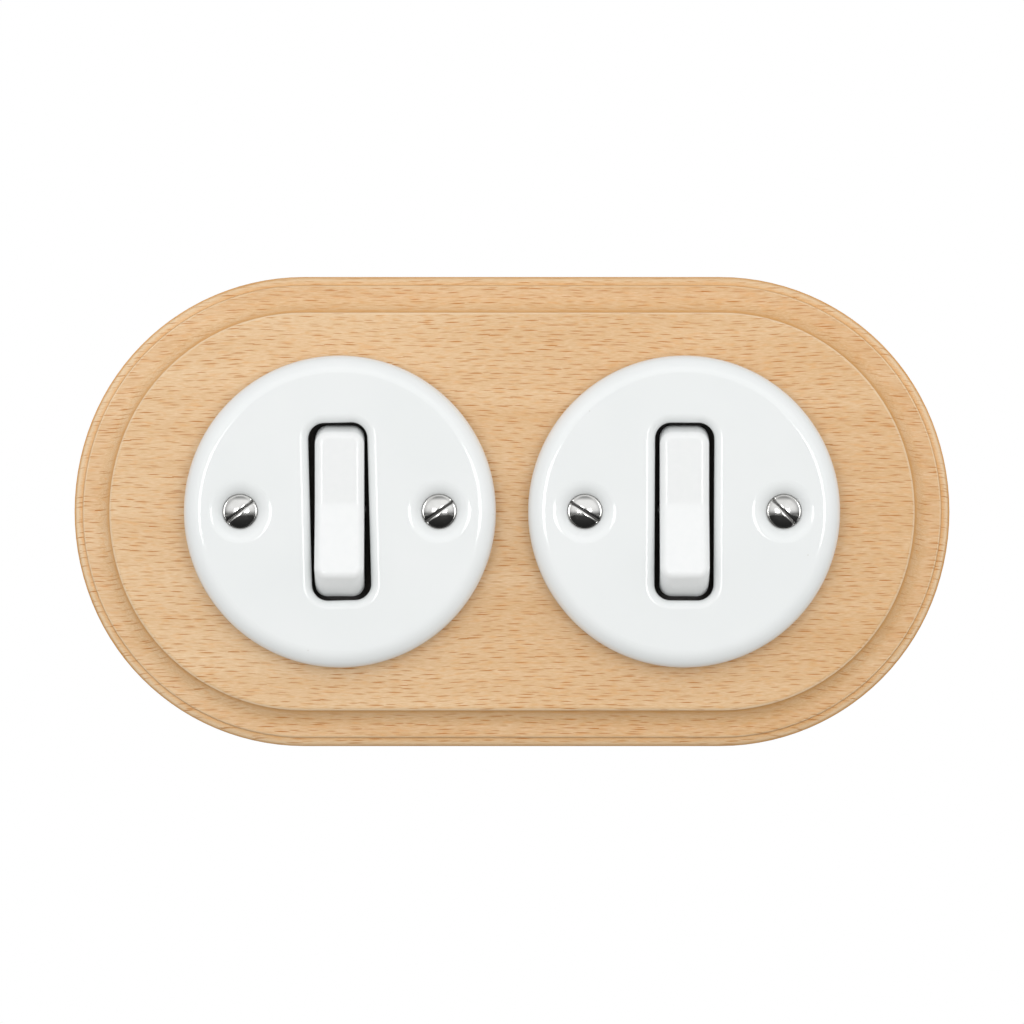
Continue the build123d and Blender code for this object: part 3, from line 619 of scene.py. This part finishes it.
studio = {  # sizes in metres
    "floorLevel": -0.60,
    "floorRadius": 4.0,
    "floorSides": 96,
    "floorColour": "#F2F2F0",
    "floorShade": "#B4B4B2",  # what the floor throws back at the object
    "floorRoughness": 0.9,
    "white": "#FFFFFF",
    "surround": 0.62,  # light from all round on matt surfaces
    "room": [  # rise of a reflected ray, and the light that it meets
        (-0.25, 0.0), (-0.12, 0.15), (0.05, 0.85), (0.25, 1.0), (0.56, 1.0), (0.68, 0.45)],
    "sides": {"from": 0.80, "to": 0.60, "light": 0.35},  # dimmer where a reflected ray turns sideways
    "frontShade": {"inner": 0.9990, "outer": 0.9900, "light": 0.3},  # dark patch straight in front
}
lamps = {  # light is brightness, where white paper is 1
    "small panel": {
        "place": (0.25, -0.97, 0.037), "size": (0.21, 0.18), "light": 6.0, "pair": True, "mirrored": True},
    "front panel": {"place": (0.0, -1.50, 0.28), "size": (2.4, 1.4), "light": 1.13},
    "side panel": {"place": (0.78, -0.30, 0.12), "size": (0.8, 0.9), "light": 0.4, "pair": True},
    "top panel": {"place": (0.0, -0.40, 0.80), "size": (1.2, 0.8), "light": 0.15},
    "back panel": {"place": (0.45, 0.95, 0.45), "size": (0.9, 0.6), "light": 1.4, "pair": True},
}
lowCard = {  # sizes in metres
    "far": -1.30,
    "near": -0.07,
    "level": -0.25,
    "half": 0.8,
    "colour": "#0A0A0A",
    "roughness": 0.9,
}


def addLamp(name, place, look):
    data = bpy.data.lights.new(name, "AREA")
    data.shape = "RECTANGLE"
    data.size, data.size_y = look["size"]
    data.energy = math.pi * data.size * data.size_y * look["light"]
    lamp = bpy.data.objects.new(name, data)
    lamp.location = place
    lamp.rotation_euler = (-Vector(place)).to_track_quat("-Z", "Y").to_euler()
    lamp.visible_camera = False
    lamp.visible_glossy = look.get("mirrored", False)
    scene.collection.objects.link(lamp)


def addStagePlane(name, shape, material):
    plane = addObject(name, shape, material)
    return plane


def floorPaper(look):  # matt paper, pale to the camera and greyer to the object
    material, tree, shader = newMaterial("floor paper")
    ray = addNode(tree, "ShaderNodeLightPath", {}).outputs
    colour = addNode(tree, "ShaderNodeMix", {
        0: ray["Is Camera Ray"], 6: hexColour(look["floorShade"]), 7: hexColour(look["floorColour"])},
        data_type="RGBA")
    tree.links.new(colour.outputs[2], shader.inputs["Base Color"])
    shader.inputs["Roughness"].default_value = look["floorRoughness"]
    return material


def blackCard(look):  # matt card that only polished surfaces show
    material, _, shader = newMaterial("black card")
    shader.inputs["Base Color"].default_value = hexColour(look["colour"])
    shader.inputs["Roughness"].default_value = look["roughness"]
    return material


def studioWorld(look):
    world = bpy.data.worlds.new("studio")
    world.use_nodes = True
    tree = world.node_tree
    direction = addNode(tree, "ShaderNodeTexCoord", {}).outputs["Generated"]
    heading = addNode(tree, "ShaderNodeSeparateXYZ", {"Vector": direction}).outputs
    climb = addNode(tree, "ShaderNodeMapRange", {
        "Value": heading["Z"], "From Min": look["room"][0][0], "From Max": look["room"][-1][0]})
    room = addNode(tree, "ShaderNodeValToRGB", {"Fac": climb.outputs[0]})
    setStops(room, [(rise, (light, light, light, 1.0)) for rise, light in look["room"]])
    sides = look["sides"]
    along = addNode(tree, "ShaderNodeMath", {0: heading["Y"]}, operation="ABSOLUTE")
    square = addNode(tree, "ShaderNodeMapRange", {
        "Value": along.outputs[0], "From Min": sides["to"], "From Max": sides["from"],
        "To Min": sides["light"]}, interpolation_type="SMOOTHSTEP")
    mirrored = addNode(tree, "ShaderNodeMath", {
        0: room.outputs["Color"], 1: square.outputs[0]}, operation="MULTIPLY")
    patch = look["frontShade"]
    shade = addNode(tree, "ShaderNodeMapRange", {
        "Value": heading["Y"], "From Min": -patch["inner"], "From Max": -patch["outer"],
        "To Min": patch["light"]}, interpolation_type="SMOOTHSTEP")
    mirrored = addNode(tree, "ShaderNodeMath", {
        0: mirrored.outputs[0], 1: shade.outputs[0]}, operation="MULTIPLY")
    ray = addNode(tree, "ShaderNodeLightPath", {}).outputs
    strength = addNode(tree, "ShaderNodeMix", {
        0: ray["Is Glossy Ray"], 2: look["surround"], 3: mirrored.outputs[0]})
    seen = addNode(tree, "ShaderNodeMath", {
        0: ray["Is Camera Ray"], 1: ray["Is Transmission Ray"]}, operation="MAXIMUM")
    strength = addNode(tree, "ShaderNodeMix", {0: seen.outputs[0], 2: strength.outputs[0], 3: 1.0})
    background = tree.nodes["Background"]
    background.inputs["Color"].default_value = hexColour(look["white"])
    tree.links.new(strength.outputs[0], background.inputs["Strength"])
    return world


for name, look in lamps.items():
    x, y, z = look["place"]
    if look.get("pair"):
        addLamp(name + " right", (x, y, z), look)
        addLamp(name + " left", (-x, y, z), look)
    else:
        addLamp(name, (x, y, z), look)

disc = bmesh.new()
bmesh.ops.create_circle(
    disc, cap_ends=True, segments=studio["floorSides"], radius=studio["floorRadius"],
    matrix=Matrix.Translation((0.0, 0.0, studio["floorLevel"])))
addStagePlane("floor", disc, floorPaper(studio))

middle = (lowCard["near"] + lowCard["far"]) / 2
halfDepth = (lowCard["near"] - lowCard["far"]) / 2
sheet = bmesh.new()
bmesh.ops.create_grid(
    sheet, x_segments=1, y_segments=1, size=1.0,
    matrix=Matrix.Translation((0.0, middle, lowCard["level"]))
    @ Matrix.Diagonal((lowCard["half"], halfDepth, 1.0, 1.0)))
card = addStagePlane("low_card", sheet, blackCard(lowCard))
card.visible_camera = False
card.visible_diffuse = False
card.visible_shadow = False
card.visible_transmission = False

scene.world = studioWorld(studio)
print("studio lit")


# Camera: straight at the front, far off with a long lens, as the photograph's flat view asks

cameraSet = {
    "distance": 1.344,  # metres from the wall
    "height": -0.0001,
    "lens": 226.3,  # mm
    "sensor": 36.0,
}
cameraData = bpy.data.cameras.new("camera")
cameraData.lens = cameraSet["lens"]
cameraData.sensor_width = cameraSet["sensor"]
camera = bpy.data.objects.new("camera", cameraData)
camera.location = (0.0, -cameraSet["distance"], cameraSet["height"])
camera.rotation_euler = (math.radians(90), 0.0, 0.0)  # upright, looking along +Y
scene.collection.objects.link(camera)
scene.camera = camera
print("camera set")
